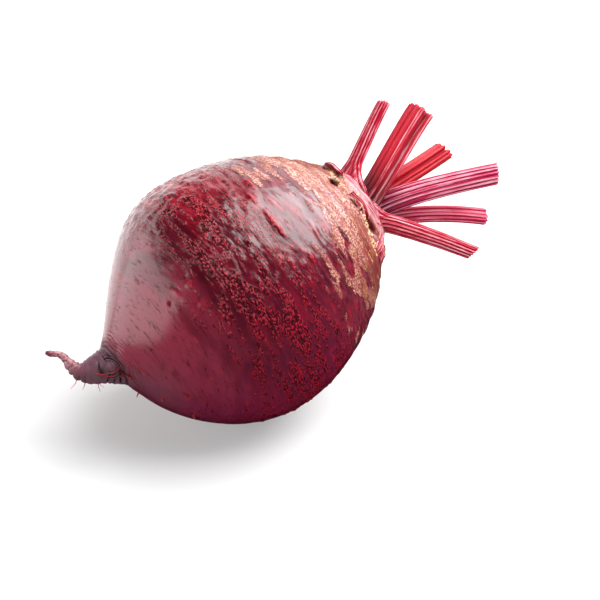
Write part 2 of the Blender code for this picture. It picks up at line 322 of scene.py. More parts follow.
# Beetroot skin, grown and washed: a thin living cork with a light wax, over wine-red flesh. To the eye it
# is dark and deep, with a broad soft gloss on the bare skin and a dull, dry one where the cork is thick.
def beet_skin():
    """The skin's colour, gloss and relief, on one shader."""
    material, tree, skin = new_finish("beet_skin_glossy_cork")
    part = skin_parts(tree)
    share = skin_shares(tree, part)
    tree.links.new(skin_colour(tree, part, share), skin.inputs["Base Color"])

    dull = add(tree, "Math", (share["cork"], CORK_DULLS), operation="MULTIPLY")
    for layer, weight in DULLED_BY.items():
        dull = add(tree, "Math", (part[layer], weight, dull), operation="MULTIPLY_ADD")
    rough = add(tree, "MapRange", (dull, 0.0, 1.0, GLOSSY, DULL), **SMOOTH)
    tree.links.new(rough, skin.inputs["Roughness"])
    skin.inputs["IOR"].default_value = 1.45
    skin.inputs["Coat Weight"].default_value = 0.2
    skin.inputs["Coat Roughness"].default_value = 0.12

    domed = add(tree, "Math", (share["beads"], 2.0), operation="POWER")
    relief = add(tree, "Math", (domed, BEAD_RISE), operation="MULTIPLY")
    for pattern, mask, least, most in (
        ("fibres", share["chain"], 0.05, 0.12),
        ("grit", share["cork"], 0.02, 0.10),
        ("netting", share["cork"], 0.0, 0.16),
    ):
        height = add(tree, "MapRange", (mask, 0.0, 1.0, least, most))
        relief = add(tree, "Math", (part[pattern], height, relief), operation="MULTIPLY_ADD")
    relief = add(tree, "Math", (share["cork"], CORK_RISE, relief), operation="MULTIPLY_ADD")
    normal = add(tree, "Bump", {"Height": relief, "Distance": MM, "Strength": 1.0})
    tree.links.new(normal, skin.inputs["Normal"])
    return material


SKIN = beet_skin()
print(SKIN.name, "has", len(SKIN.node_tree.nodes), "nodes")

# %% [markdown]
# ## The root's form
#
# The root's outline is a short list of heights with the middle line's sideways bend and the radius.
# A smooth curve through them gives as many rows as the skin needs: close together on the tail and the
# crown, wider on the belly. The skin starts as a plain tube, spun from one upright line of points, and
# each point is then moved to its place by formula. That keeps it one closed, evenly spaced surface.

# %% Outline of the root
ROOT_FORM = (
    (-64.9, 19.8, 0.5), (-64.4, 19.1, 0.9), (-63.2, 18.0, 1.0), (-61.7, 16.8, 1.1),
    (-60.9, 15.1, 1.3), (-60.6, 11.8, 1.9), (-59.5, 8.5, 2.8), (-57.3, 6.7, 4.0),
    (-54.2, 5.6, 5.0), (-51.4, 4.8, 5.9), (-49.0, 3.6, 7.4), (-46.8, 1.9, 10.8),
    (-43.6, -0.2, 16.2), (-38.5, -1.4, 22.9), (-31.0, -1.5, 30.6), (-22.5, -0.9, 37.2),
    (-12.5, -0.2, 42.0), (0.0, 0.0, 43.5), (12.0, 0.0, 41.8), (22.0, 0.0, 38.4),
    (31.0, 0.0, 33.8), (38.5, 0.0, 28.0), (44.5, 0.0, 22.0), (48.5, 0.0, 18.0),
    (51.0, 0.0, 15.2), (52.6, 0.0, 12.6), (53.5, 0.0, 9.0), (53.9, 0.0, 4.5), (54.0, 0.0, 0.8),
)


def smooth_through(rows, steps):
    """Rows read from a smooth curve through the given ones, with so many steps in each gap."""
    points = [Vector(row) for row in rows]
    chords = [(b - a).length for a, b in zip(points, points[1:])]
    rates = [(b - a) / chord for a, b, chord in zip(points, points[1:], chords)]
    slopes = [rates[0]]
    for before, after, rate, next_rate in zip(chords, chords[1:], rates, rates[1:]):
        slopes.append((rate * after + next_rate * before) / (before + after))
    slopes.append(rates[-1])
    found = []
    for i, chord in enumerate(chords):
        for step in range(steps):
            t = step / steps
            found.append(
                points[i] * (2 * t**3 - 3 * t**2 + 1)
                + slopes[i] * chord * (t**3 - 2 * t**2 + t)
                + points[i + 1] * (3 * t**2 - 2 * t**3)
                + slopes[i + 1] * chord * (t**3 - t**2)
            )
    return np.array(found + [points[-1]])


# %% [markdown]
# ## Rows and columns of the skin
#
# The bent tail needs its sections square to its own middle line, and the belly needs them level. So the
# direction of the middle line fades to upright between the two. The columns stand a little closer on the
# side that faces the camera. H, T, R and S hold each point's height, turn, radius and way over the skin.

# %% Place the rows and columns
ROWS = 326
SIDES = 304
STEPS_BETWEEN = 24
TAIL_BELOW, TAIL_CLOSER = -45.0, 1.0
CROWN_ABOVE, CROWN_CLOSER = 42.0, 0.8
SECTIONS_LEVEL = (-53.0, -48.0)
NEAR_SIDE_CLOSER = 0.4

fine = smooth_through(ROOT_FORM, STEPS_BETWEEN)
stretch = np.linalg.norm(np.diff(fine, axis=0), axis=1)
closeness = 1.0 + TAIL_CLOSER * (fine[1:, 0] < TAIL_BELOW) + CROWN_CLOSER * (fine[1:, 0] > CROWN_ABOVE)
reached = np.concatenate([[0.0], np.cumsum(stretch * closeness)])
wanted = np.linspace(0.0, reached[-1], ROWS)
HEIGHT, BEND, RADIUS = (np.interp(wanted, reached, fine[:, i]) for i in range(3))
TRAVEL = np.interp(wanted, reached, np.concatenate([[0.0], np.cumsum(stretch)]))
MIDDLE = np.stack([BEND, np.zeros(ROWS), HEIGHT], axis=1)
along = np.gradient(MIDDLE, axis=0)
along /= np.linalg.norm(along, axis=1, keepdims=True)
level = ease(HEIGHT, *SECTIONS_LEVEL)[:, None]
along = along * (1 - level) + np.array(UPRIGHT) * level
along /= np.linalg.norm(along, axis=1, keepdims=True)
ACROSS = np.cross(np.array(SIDEWAYS), along)

side = 2 * pi * np.arange(SIDES) / SIDES
TURN = side + NEAR_SIDE_CLOSER * np.sin(side - 1.5 * pi)
H, T = np.meshgrid(HEIGHT, TURN, indexing="ij")
R = RADIUS[:, None]
S = TRAVEL[:, None]
OUTWARD = ACROSS[:, None, :] * np.cos(T)[..., None] + np.array(SIDEWAYS) * np.sin(T)[..., None]
PLAIN = MIDDLE[:, None, :] + OUTWARD * R[..., None]
print(f"root: {TRAVEL[-1]:.0f} mm over the skin from tip to crown, belly {2 * RADIUS.max():.0f} mm across")

# %% [markdown]
# ## Relief that can be felt
#
# Broad waves keep the belly from looking turned on a lathe. Low ridges ring it towards the crown, and
# staggered scars mark where old leaves sat. A displace modifier with a texture could rough up the skin,
# but formulas in height and turn put each form where it grows.

# %% Waves, ridges and leaf scars
BELLY_WAVE = 0.35
GROWTH_RIDGE = 0.28
GROWTH_RIDGE_SPACING = 5.2
LEAF_SCARS = 9
SCAR_ROWS = ((51.0, 1.5), (47.4, 1.2), (43.8, 0.7))
SCAR_ROW_HALF = 1.7

relief = BELLY_WAVE * np.sin(2 * T + 0.8) * np.cos(H / 17.0 + 0.6)
relief += 0.5 * BELLY_WAVE * np.sin(3 * T - H / 11.0)
relief *= ease(H, -46.0, -20.0) * (1 - ease(H, 40.0, 50.0))
wander = 0.9 * np.sin(2 * T + 0.5) + 0.6 * np.sin(5 * T)
ridges = GROWTH_RIDGE * np.sin(2 * pi * H / GROWTH_RIDGE_SPACING + wander)
relief += ridges * ease(H, 14.0, 36.0) * (1 - ease(H, 44.0, 48.0))
for row, (centre, rise) in enumerate(SCAR_ROWS):
    scar = np.abs(np.sin(LEAF_SCARS * T / 2 + row * pi / 2)) - 0.6
    relief += rise * scar * np.exp(-(((H - centre) / SCAR_ROW_HALF) ** 2))
print("waves, ridges and scars rise by up to", round(float(relief.max()), 2), "mm")

# %% [markdown]
# ## Folds of the tail
#
# The tail dries first and shrinks in rings of folds, deeper in some places than in others. A sine along
# the skin gives the rings, and a slow noise shifts and weakens them, so that no two are alike. On the
# knob at its top, finer rings run round a dried side root.


# %% Wrinkle the tail
def skin_noise(across, up, octaves, seed):
    """Ranks a fractal noise on the skin's points from 0 to 1, so that a limit of 0.7 keeps 30 % of them."""
    points = PLAIN.reshape(-1, 3) * (across, across, up) + (seed, 0.0, 0.0)
    values = np.array([noise.fractal(Vector(point), 0.85, 2.0, octaves) for point in points])
    return (values.argsort().argsort() / values.size).reshape(ROWS, SIDES)


FOLD_SPACING = 1.9
KNOB_TURN, KNOB_TRAVEL = 100, 23.3
KNOB_RING_SPACING = 1.15
KNOB_RING_RADIUS, KNOB_RING_HALF = 3.2, 1.7

on_tail = 1 - ease(H, -50.0, -43.0)
drift = skin_noise(0.10, 0.10, 2, 41.0)
folds = np.abs(np.sin(pi * (S / FOLD_SPACING + 1.5 * drift + 0.35 * np.sin(T + 0.35 * S)))) ** 0.7
depth = 0.25 + 0.65 * ease(skin_noise(0.2, 0.2, 2, 47.0), 0.2, 0.9)
relief += depth * (folds - 0.7) * on_tail * np.minimum(R / 3.0, 1.0)
knob_ring = np.hypot((T - radians(KNOB_TURN)) * R, S - KNOB_TRAVEL)
ring_fades = np.exp(-(((knob_ring - KNOB_RING_RADIUS) / KNOB_RING_HALF) ** 2))
ripple = np.cos(2 * pi * knob_ring / KNOB_RING_SPACING) * ring_fades
ripple *= ease(S, 21.0, 24.0) * (H < -44)
relief += 0.4 * ripple
print("folds on", int((on_tail > 0.5).sum()), "points")

# %% [markdown]
# ## Where the beads, the cork and the colours are
#
# The belt of beads runs round the belly, and the cork comes down from the crown in tongues, lower on some
# sides. Weight paint could hold that, but only as stored numbers. Rules in height and turn say the same
# in a few lines, and noises that are stretched round the root break up their edges as growth does.


# %% Layers of the skin
def near_turn(degrees, half):
    """1 at a turn, fading to nothing over so many degrees to each side."""
    away = (T - radians(degrees) + pi) % (2 * pi) - pi
    return np.exp(-((away / radians(half)) ** 2))


streaks = skin_noise(0.06, 0.40, 4, 3.0)
patches = skin_noise(0.045, 0.16, 4, 11.0)
flakes = skin_noise(0.09, 0.36, 5, 23.0)
bumps = skin_noise(0.30, 0.55, 3, 31.0)
belt = np.maximum(np.exp(-(((H + 3.0) / 17.0) ** 2)), 0.6 * ease(H, -28, -16) * (1 - ease(H, 0, 14)))
tongues = near_turn(38, 30) + 0.7 * near_turn(230, 28) + 0.6 * near_turn(310, 24)
cover = 0.36 * ease(H, 8, 24) + 0.80 * ease(H, 24, 37) + 0.34 * tongues * ease(H, 2, 16)
cover -= 0.34 * near_turn(72, 26) * ease(H, 8, 14) * (1 - ease(H, 23, 33))
cover += 0.2 * near_turn(108, 22) * ease(H, 14, 26)
above_mauve = ease(H + 10 * (patches - 0.5), -34, -17)
layers = {
    "beads": belt * ease(streaks, 0.25, 0.8) * 0.9,
    "cork": ease(flakes, 0.86 - cover, 1.40 - cover),
    "crimson": 0.32 * np.exp(-(((H - 1) / 12) ** 2)) * near_turn(38, 26) * ease(patches, 0.15, 0.6)
    + 0.15 * belt * ease(patches, 0.6, 0.85),
    "blush": 0.7 * ease(H, 2, 34) + 0.9 * (1 - ease(S, 9.0, 17.0)),
    "mauve": np.maximum(1 - above_mauve, 0.7 * near_turn(6, 26) * (1 - ease(H, -6, 14))),
    "violet": 0.85 * near_turn(170, 55) * (1 - ease(H, 5, 30)),
    # Grey mauve on the tail, and a shade of it on the belly just above.
    "tail": np.maximum(
        (1 - ease(H, -50.0, -46.0)) * (0.25 + 0.75 * ease(S, 9.0, 16.0)),
        0.45 * (1 - ease(H, -48.0, -34.0)) * near_turn(140, 45),
    ),
    # Old, dark cork at the edge of the crown, and further down on the side that lies low.
    "ochre": np.minimum(
        0.7 * ease(H, 33, 44) * ease(patches, 0.15, 0.6) * (1 - 0.7 * near_turn(68, 34))
        + near_turn(136, 32) * ease(H, 20, 38) * (0.5 + 0.5 * ease(streaks, 0.1, 0.75)), 0.95
    ),
    # Bare flesh on top, inside the last ring of scars.
    "flesh": 0.95 * ease(H, 50.2, 51.4),
    # Painted shade in the folds of the tail and between the knob's rings, and darker at the tip.
    "pit": 1.1 * on_tail * (1 - ease(folds, 0.1, 0.55)) * ease(depth, 0.25, 0.6) * ease(S, 10.0, 18.0)
    + 1.1 * np.clip(-ripple, 0, 1) + 0.6 * (1 - ease(S, 0.0, 1.4)),
    # Pale scars round the crown, and the pale end of the tail.
    "pale": 0.8 * ease(H, 46.6, 48.2) * (1 - ease(H, 50.0, 51.0))
    + 0.56 * ease(S, 1.5, 4.0) * (1 - ease(S, 8.0, 14.0)),
}
layers["crimson"] = np.clip(layers["crimson"], 0, 1)
relief += 0.14 * layers["cork"] + 0.22 * (bumps - 0.5) * np.maximum(belt, 0.5 * ease(H, 0, 20))
relief += 0.35 * (bumps - 0.5) * near_turn(14, 26) * ease(H, -30, -16) * (1 - ease(H, 8, 24))
relief += 0.10 * ease(streaks, 0.35, 0.7) * belt
print(f"cork on {100 * (layers['cork'] > 0.5).mean():.0f} % of the points")

# %% [markdown]
# ## Marks on the skin
#
# A beet's skin also has marks of its own: breathing pores with dark, rough lips, raised dashes where
# it split and healed, and pits that side roots came out of. Each mark is a soft oval that raises or
# sinks the skin and adds to one of the layers, so that form and colour agree. Hundreds of them are
# drawn by a seeded rule, because nobody would miss or count a single one.


# %% Marks by rule
def mark(height, turn, half_round, half_up, rise, tint=None, strength=1.0, sharp=1.0, tilt=0.0):
    """One oval mark: its place, its half sizes in millimetres, how far it rises, and its tint."""
    at = np.interp(height, HEIGHT[HEIGHT > -60], TRAVEL[HEIGHT > -60])
    rows = np.flatnonzero(np.abs(TRAVEL - at) < 2.2 * max(half_round, half_up))
    rows = slice(rows[0], rows[-1] + 1)
    u = ((TURN[None, :] - radians(turn) + pi) % (2 * pi) - pi) * R[rows]
    v = S[rows] - at
    u, v = u * cos(tilt) + v * sin(tilt), v * cos(tilt) - u * sin(tilt)
    oval = np.exp(-(((u / half_round) ** 2 + (v / half_up) ** 2) ** sharp))
    relief[rows] += rise * oval
    if tint:
        layers[tint][rows] = np.maximum(layers[tint][rows], strength * oval)


# Height, turn, half height, half width and rise of the few broad dents and lumps.
SWELLINGS = (
    (6.0, 10.0, 16.0, 18.0, -0.7), (48.6, 36.0, 1.5, 4.0, 1.0), (42.4, 64.0, 1.3, 1.5, -1.0),
    (46.0, 92.0, 3.0, 3.2, 1.3), (48.4, 117.0, 2.2, 2.6, -0.8), (44.0, 131.0, 3.6, 2.4, 0.9),
    (46.4, 205.0, 2.6, 3.4, 1.0), (45.5, 292.0, 2.2, 3.6, 1.1), (-50.9, 100.0, 1.6, 1.8, 1.5),
    (-48.4, 129.0, 1.1, 1.7, -0.9), (-49.6, 262.0, 1.5, 2.2, 0.7),
)
BELT_BEADS, HEALED_SPLITS, SMALL_PORES = 900, 260, 90
for height, turn, half_up, half_round, rise in SWELLINGS:
    mark(height, turn, half_round, half_up, rise)

draw = Random(5)
for _ in range(BELT_BEADS):
    height, turn = draw.gauss(-3.0, 12.0), draw.uniform(0.0, 360.0)
    half = draw.uniform(0.7, 1.8)
    mark(height, turn, half, draw.uniform(0.45, 0.6), draw.uniform(0.1, 0.3), "beads", draw.uniform(0.5, 0.9))
for _ in range(HEALED_SPLITS):
    height, turn, half = draw.uniform(6.0, 44.0), draw.uniform(0.0, 360.0), draw.uniform(1.0, 3.4)
    half_up, rise, tilt = draw.uniform(0.4, 0.7), draw.uniform(0.1, 0.3), draw.gauss(0, 0.1)
    mark(height, turn, half, half_up, rise, "crimson", 0.42, 1.4, tilt)
for _ in range(SMALL_PORES):
    height, turn = draw.uniform(-34.0, 14.0), draw.uniform(0.0, 360.0)
    mark(height, turn, draw.uniform(0.6, 1.2), 0.55, 0.22, "crimson", 0.6)
    mark(height, turn, draw.uniform(0.3, 0.5), 0.32, -0.2, "pit", draw.uniform(0.4, 0.8))
print(len(SWELLINGS) + BELT_BEADS + HEALED_SPLITS + SMALL_PORES, "marks by rule")

# %% [markdown]
# ## Marks of this beetroot
#
# Some marks are large enough to know this root by: a long healed split with three short ones, clusters
# of pores, and the stubs that side roots broke off to. They are listed with height and turn. A cluster is
# drawn as a handful of dark pits round its place, because one clean hole would look drilled.

# %% Splits, pores and stubs
# Height, turn, half width, half height and rise.
DASHES = (
    (12.0, 76.0, 5.0, 0.9, 0.9), (12.0, 60.0, 2.4, 0.8, 0.7),
    (15.4, 53.0, 2.6, 0.8, 0.7), (15.4, 98.0, 2.4, 0.8, 0.7),
)
for height, turn, half, up, rise in DASHES:
    mark(height, turn, half, up, rise, sharp=2.0)
    mark(height, turn, half, 0.75 * up, 0.0, "crimson", 1.8, 2.0)
    mark(height, turn, half, up, 0.0, "beads", 1.5, 2.0)
# Height, turn and size, here and for the stubs.
PORES = (
    (-8.4, 63, 1.6), (-8.0, 59, 1.2), (-7.6, 55, 1.0), (-19.3, 26, 1.6), (-4.2, 41, 1.1),
    (-10, 37, 1.0), (-8, 28, 1.0), (0, 26, 1.2), (-4.6, 43, 1.1), (8.6, 49, 1.3),
    (13, 29, 0.9), (-25.5, 71, 1.0), (-29, 71, 0.9), (-23, 84, 0.9), (-21.5, 87, 1.0),
    (-21.5, 73, 1.3), (-12, 200, 1.4), (-4, 250, 1.3), (-16, 300, 1.5), (6, 330, 1.2),
)
for height, turn, size in PORES:
    mark(height, turn, 1.5 * size, 0.9 * size, 0.35, "crimson", 0.5)
    for _ in range(int(5 * size)):
        place = height + draw.gauss(0, 0.5 * size), turn + draw.gauss(0, 1.6 * size)
        strong = draw.uniform(0.7, 1.0) if height > -15 else draw.uniform(0.4, 0.6)
        mark(*place, draw.uniform(0.4, 0.85), draw.uniform(0.35, 0.55), -0.35, "pit", strong, 1.5)
# Painted shade in two dark hollows beside the knob.
mark(-54.0, 110, 2.2, 0.8, -0.5, "pit", 0.9)
mark(-49.2, 122, 2.0, 1.0, -0.5, "pit", 0.85)
STUBS = (
    (-49.0, 131, 2.2), (-48.0, 133, 1.6), (-46.4, 207, 1.5), (-43.6, 155, 1.4),
    (-38.5, 138, 1.6), (-38.0, 169, 1.5), (-44, 312, 1.6), (-35, 330, 1.4),
)
for height, turn, size in STUBS:
    mark(height, turn, 1.2 * size, 1.0 * size, 0.3, "crimson", 0.35)
    mark(height, turn, 0.55 * size, 0.45 * size, -0.6, "pit", 0.9)
print(len(DASHES), "splits,", len(PORES), "pores and", len(STUBS), "stubs placed by hand")

# %% [markdown]
# ## Hollows at the edge of the crown
#
# Where a leaf base was torn out, the cork breaks off over a hollow of dark red flesh, and shade makes it
# almost black at the bottom. A boolean cut would leave a sharp rim and no colour. Overlapping soft ovals
# sink the skin and tint it from red to black in one go; the black is painted shade.

# %% Sink the hollows
# Height, turn, half width, half height and depth.
HOLLOWS = (
    (42.5, 63, 1.7, 1.0, 1.4), (45.7, 37, 1.0, 0.7, 0.8), (44.9, 103, 2.4, 1.3, 1.5),
    (43.4, 115, 3.6, 2.0, 1.8), (43.5, 215, 2.4, 1.3, 1.4), (44.0, 285, 2.0, 1.2, 1.3),
)
TORN_OUT = ((44.4, 102, 3.0, 1.3), (43.8, 115, 5.2, 2.5), (43.4, 88, 2.6, 0.6))
DEEPEST = ((42.6, 63, 1.4, 1.2), (45.7, 37, 0.7, 0.6), (44.4, 100, 1.2, 0.6), (43.6, 115, 2.6, 1.2))
for height, turn, half_round, half_up, deep in HOLLOWS:
    for _ in range(7):
        place = height + draw.gauss(0, 0.45 * half_up), turn + draw.gauss(0, 2.0 * half_round)
        mark(*place, 0.8 * half_round, 0.9 * half_up, -0.1 * deep, "flesh", 0.95, 1.5)
        mark(*place, 0.4 * half_round, draw.uniform(0.3, 0.5) * half_up, -0.25 * deep, "pit", 0.45, 1.3)
# A crimson lump stands beside them, the stump of a torn stalk.
mark(47.9, 42, 5.0, 1.7, 1.2, "flesh", 1.0, 1.6)
for height, turn, half_round, half_up in TORN_OUT:
    mark(height, turn, half_round, half_up, -1.1, "flesh", 1.0, 2.0)
# Painted shade, near black, at the bottom of the deepest hollows.
for height, turn, half_round, half_up in DEEPEST:
    mark(height, turn, half_round, half_up, -1.0, "pit", 1.0, 2.0)
print("relief from", round(float(relief.min()), 2), "to", round(float(relief.max()), 2), "mm")

# %% [markdown]
# ## From a tube to a root
#
# The faces come from one full spin of a line, which closes itself, and two caps. A UV sphere would crowd
# its points at the poles, and here the rows are where they are needed. What would sink below the floor is
# pressed flat on it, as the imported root's flat spot is.

# %% Spin the skin and place its points
bm = bmesh.new()
line = [bm.verts.new((1.0, 0.0, row)) for row in range(ROWS)]
edges = [bm.edges.new(pair) for pair in zip(line, line[1:])]
bmesh.ops.spin(
    bm, geom=line + edges, axis=UPRIGHT, cent=(0, 0, 0), dvec=(0, 0, 0), angle=2 * pi, steps=SIDES,
    use_merge=True, use_duplicate=False,
)
for low, high in ((-0.5, 0.5), (ROWS - 1.5, ROWS - 0.5)):
    rim = [e for e in bm.edges if e.is_boundary and low < e.verts[0].co.z < high]
    bmesh.ops.contextual_create(bm, geom=rim)
PLACES = PLAIN + OUTWARD * relief[..., None]
down = LYING.inverted().to_3x3() @ UPRIGHT
down.normalize()
under_floor = np.minimum((PLACES - np.array(LYING.inverted().translation)) @ np.array(down), 0.0)
PLACES -= under_floor[..., None] * np.array(down)
grid_of = []
for vert in bm.verts:
    row = round(vert.co.z)
    column = round(np.arctan2(vert.co.y, vert.co.x) * SIDES / (2 * pi)) % SIDES
    grid_of.append((row, column))
    vert.co = PLACES[row, column]
grid_of = np.array(grid_of)
root = lay_down("root_skin", bm, SKIN)
paint(root, **{name: values[grid_of[:, 0], grid_of[:, 1]] for name, values in layers.items()})
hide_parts("beet_root")

# %% [markdown]
# ## The flesh of the leaf stalks
#
# A beet stalk is juicy and ribbed: pale, firm strands run its whole length, with crimson flesh in the
# grooves between them. One striped texture would do from afar. Here the ribs are real, and the finish
# reads how high each point is on its rib, so pale and crimson stay where the form has them.

# %% Stalk flesh
# Width and length of the strands in millimetres, and how much they count beside the ribs.
STRANDS_MM = ((0.53, 33.0, 2.6), (2.9, 8.3, 1.2))


# Beet stalk, freshly cut: strands under a thin, smooth, juicy rind. Light goes a little way in, so it glows
# rather than shines, and its gloss is soft. The strands are half a millimetre apart and run the whole length.
def stalk_flesh(name, rib_colour, groove_colour, painted_shade_colour, pale_from):
    """Pale ribs on crimson grooves, with painted shade from the foot layer, most in the grooves. Pale starts
    at a height of the ribs.
    """
    material, tree, flesh = new_finish(name)
    fibre = add(tree, "Attribute", out=1, attribute_name="fibre")
    lifted = add(tree, "Attribute", out=2, attribute_name="rib")
    foot = add(tree, "Attribute", out=2, attribute_name="foot")
    for wide, long, weight in STRANDS_MM:
        scaled = add(tree, "Mapping", {"Vector": fibre, "Scale": (1 / wide, 1 / wide, 1 / long)})
        grain = add(tree, "TexNoise", {"Vector": scaled, "Scale": 1.0, "Detail": 3.0, "Roughness": 0.6})
        centred = add(tree, "Math", (grain, 0.5), operation="SUBTRACT")
        lifted = add(tree, "Math", (centred, weight, lifted), operation="MULTIPLY_ADD")
    pale = add(tree, "MapRange", (lifted, pale_from, pale_from + 0.6), **SMOOTH)
    # Painted shade: the foot layer darkens the stalk towards the crown and in its channel, where shade falls,
    # more in the grooves than on the ribs.
    groove_shade = add(tree, "MapRange", (lifted, 1.0, 0.2, 0.55, 1.0), **SMOOTH)
    shade = add(tree, "Math", (foot, groove_shade), operation="MULTIPLY")
    colour = linear(groove_colour)
    for top, share in ((rib_colour, pale), (painted_shade_colour, shade)):
        colour = add(tree, "Mix", {0: share, 6: colour, 7: linear(top)}, 2, data_type="RGBA")
    tree.links.new(colour, flesh.inputs["Base Color"])
    flesh.inputs["Roughness"].default_value = 0.4
    flesh.inputs["IOR"].default_value = 1.38
    flesh.inputs["Specular IOR Level"].default_value = 0.35
    flesh.inputs["Subsurface Weight"].default_value = 0.1
    flesh.inputs["Subsurface Radius"].default_value = (1.0, 0.25, 0.3)
    flesh.inputs["Subsurface Scale"].default_value = 1.2 * MM
    normal = add(tree, "Bump", {"Height": lifted, "Distance": 0.13 * MM, "Strength": 0.8})
    tree.links.new(normal, flesh.inputs["Normal"])
    return material


# The third colour of each is the painted shade at its foot and in its channel.
PINK_STALK = stalk_flesh("stalk_flesh_magenta", "#EAA8BA", "#B00E46", "#28040E", 0.68)
RED_STALK = stalk_flesh("stalk_flesh_red", "#E89AA6", "#AC0E26", "#240308", 0.76)
PALE_STALK = stalk_flesh("stalk_flesh_pale_ribs", "#E69CA8", "#B20F30", "#3C0614", 0.68)
DARK_PINK_STALK = stalk_flesh("stalk_flesh_dark_magenta", "#DC849A", "#AC0C3C", "#28040E", 0.8)
DARK_RED_STALK = stalk_flesh("stalk_flesh_dark_red", "#C43A4C", "#A8081E", "#240308", 1.1)

# %% [markdown]
# ## Six stalks
#
# No two stalks are alike: each bends its own way, and its inner side has a channel. The foot widens to a
# sheath that clasps the crown. They are written down as one table, so that one recipe can draw them all.

# %% The stalks' measures
# Four points that bend the middle line; width at the foot and at the cut; thickness; ribs; where the
# round side faces, at the foot and higher up; the sheath's reach to each side, and up as a share of the
# length; the channel's depth and its place aside; how bare of pale ribs one side is; the cut's slant.
STALKS = {
    "stalk_upper_near": (
        ((8.9, 5.0, 50.6), (10.6, 5.4, 56.8), (18.0, 7.2, 67.6), (22.8, 8.5, 77.8)),
        (5.8, 4.1), 3.8, 13, (28.0, 40.0), (3.4, 9.5, 0.36), 0.6, 0.0, 0.0, 0.25, PALE_STALK,
    ),
    "stalk_upper_middle": (
        ((-1.6, 4.4, 51.6), (2.0, 4.6, 62.0), (10.2, 2.8, 79.1), (13.7, 1.9, 89.7)),
        (8.2, 8.9), 5.4, 12, (262.0, 265.0), (0.6, 0.6, 0.3), 2.2, -0.24, 0.7, -0.1, RED_STALK,
    ),
    "stalk_back": (
        ((1.0, -8.6, 51.6), (-0.8, -6.8, 63.0), (-1.5, -13.3, 82.4), (-1.6, -19.4, 95.8)),
        (6.4, 6.7), 4.6, 10, (275.0, 270.0), (0.6, 0.6, 0.3), 0.9, 0.0, 0.0, -0.35, DARK_RED_STALK,
    ),
    "stalk_middle": (
        ((-4.0, -2.6, 52.0), (-3.6, -1.5, 63.4), (-12.4, -0.5, 84.4), (-18.8, 0.2, 99.3)),
        (7.9, 7.0), 5.0, 15, (100.0, 100.0), (0.3, 0.3, 0.3), 0.9, 0.0, 0.0, -0.15, PINK_STALK,
    ),
    "stalk_lower_back": (
        ((-7.8, -8.6, 51.2), (-7.2, -8.2, 61.0), (-18.4, -9.4, 78.8), (-28.4, -14.5, 92.0)),
        (5.6, 6.0), 4.3, 12, (232.0, 240.0), (0.6, 0.6, 0.3), 0.8, 0.0, 0.0, 0.1, DARK_PINK_STALK,
    ),
    "stalk_lower_near": (
        ((-7.2, 8.6, 50.2), (-10.0, 8.6, 54.2), (-25.5, 7.0, 66.2), (-35.7, 6.0, 73.3)),
        (6.6, 4.6), 4.6, 15, (130.0, 110.0), (3.2, 3.0, 0.2), 0.7, 0.0, 0.0, -0.5, PALE_STALK,
    ),
}
SIDES_PER_RIB = 8
STALK_RINGS = 70
RIB_DEPTH = 0.28
SHEATH_THINS_BY = 0.6
FOOT_TURNS_BY = 0.3
TIGHTEST_CURL = 11.0
CHANNEL_SHARE = 0.09
FIBRE_LENGTH = 45.0

# %% [markdown]
# ## Drawing out a stalk
#
# A curve with a bevel has the same section from end to end, and a stalk widens, thins and curls round the
# crown. So a ring of points is extruded section by section along the bent middle line, and each ring is
# shaped as it is drawn: ribs, channel, and near the foot the sheath, rolled to fit the crown.


# %% Draw the stalks
def bezier(points, share):
    """The point and the direction at a share of a curve bent along four points."""
    a, b, c, d = (Vector(point) for point in points)
    rest = 1.0 - share
    place = a * rest**3 + b * 3 * rest**2 * share + c * 3 * rest * share**2 + d * share**3
    direction = (b - a) * rest**2 + (c - b) * 2 * rest * share + (d - c) * share**2
    return place, direction.normalized()


def close_across(bm, corners):
    """Closes a ring with strips from side to side, which also fit a ring that is curled to a band later."""
    count = len(corners)
    for i in range(count // 2):
        strip = (corners[i], corners[i + 1], corners[count - i - 1], corners[-i])
        bmesh.ops.contextual_create(bm, geom=list(dict.fromkeys(strip)))


def extrude_ring(bm, ring_edges):
    """Extrudes a ring of edges, and gives back the new ring's edges and corners."""
    drawn = bmesh.ops.extrude_edge_only(bm, edges=ring_edges)["geom"]
    new_edges = [part for part in drawn if isinstance(part, bmesh.types.BMEdge)]
    return new_edges, [part for part in drawn if isinstance(part, bmesh.types.BMVert)]


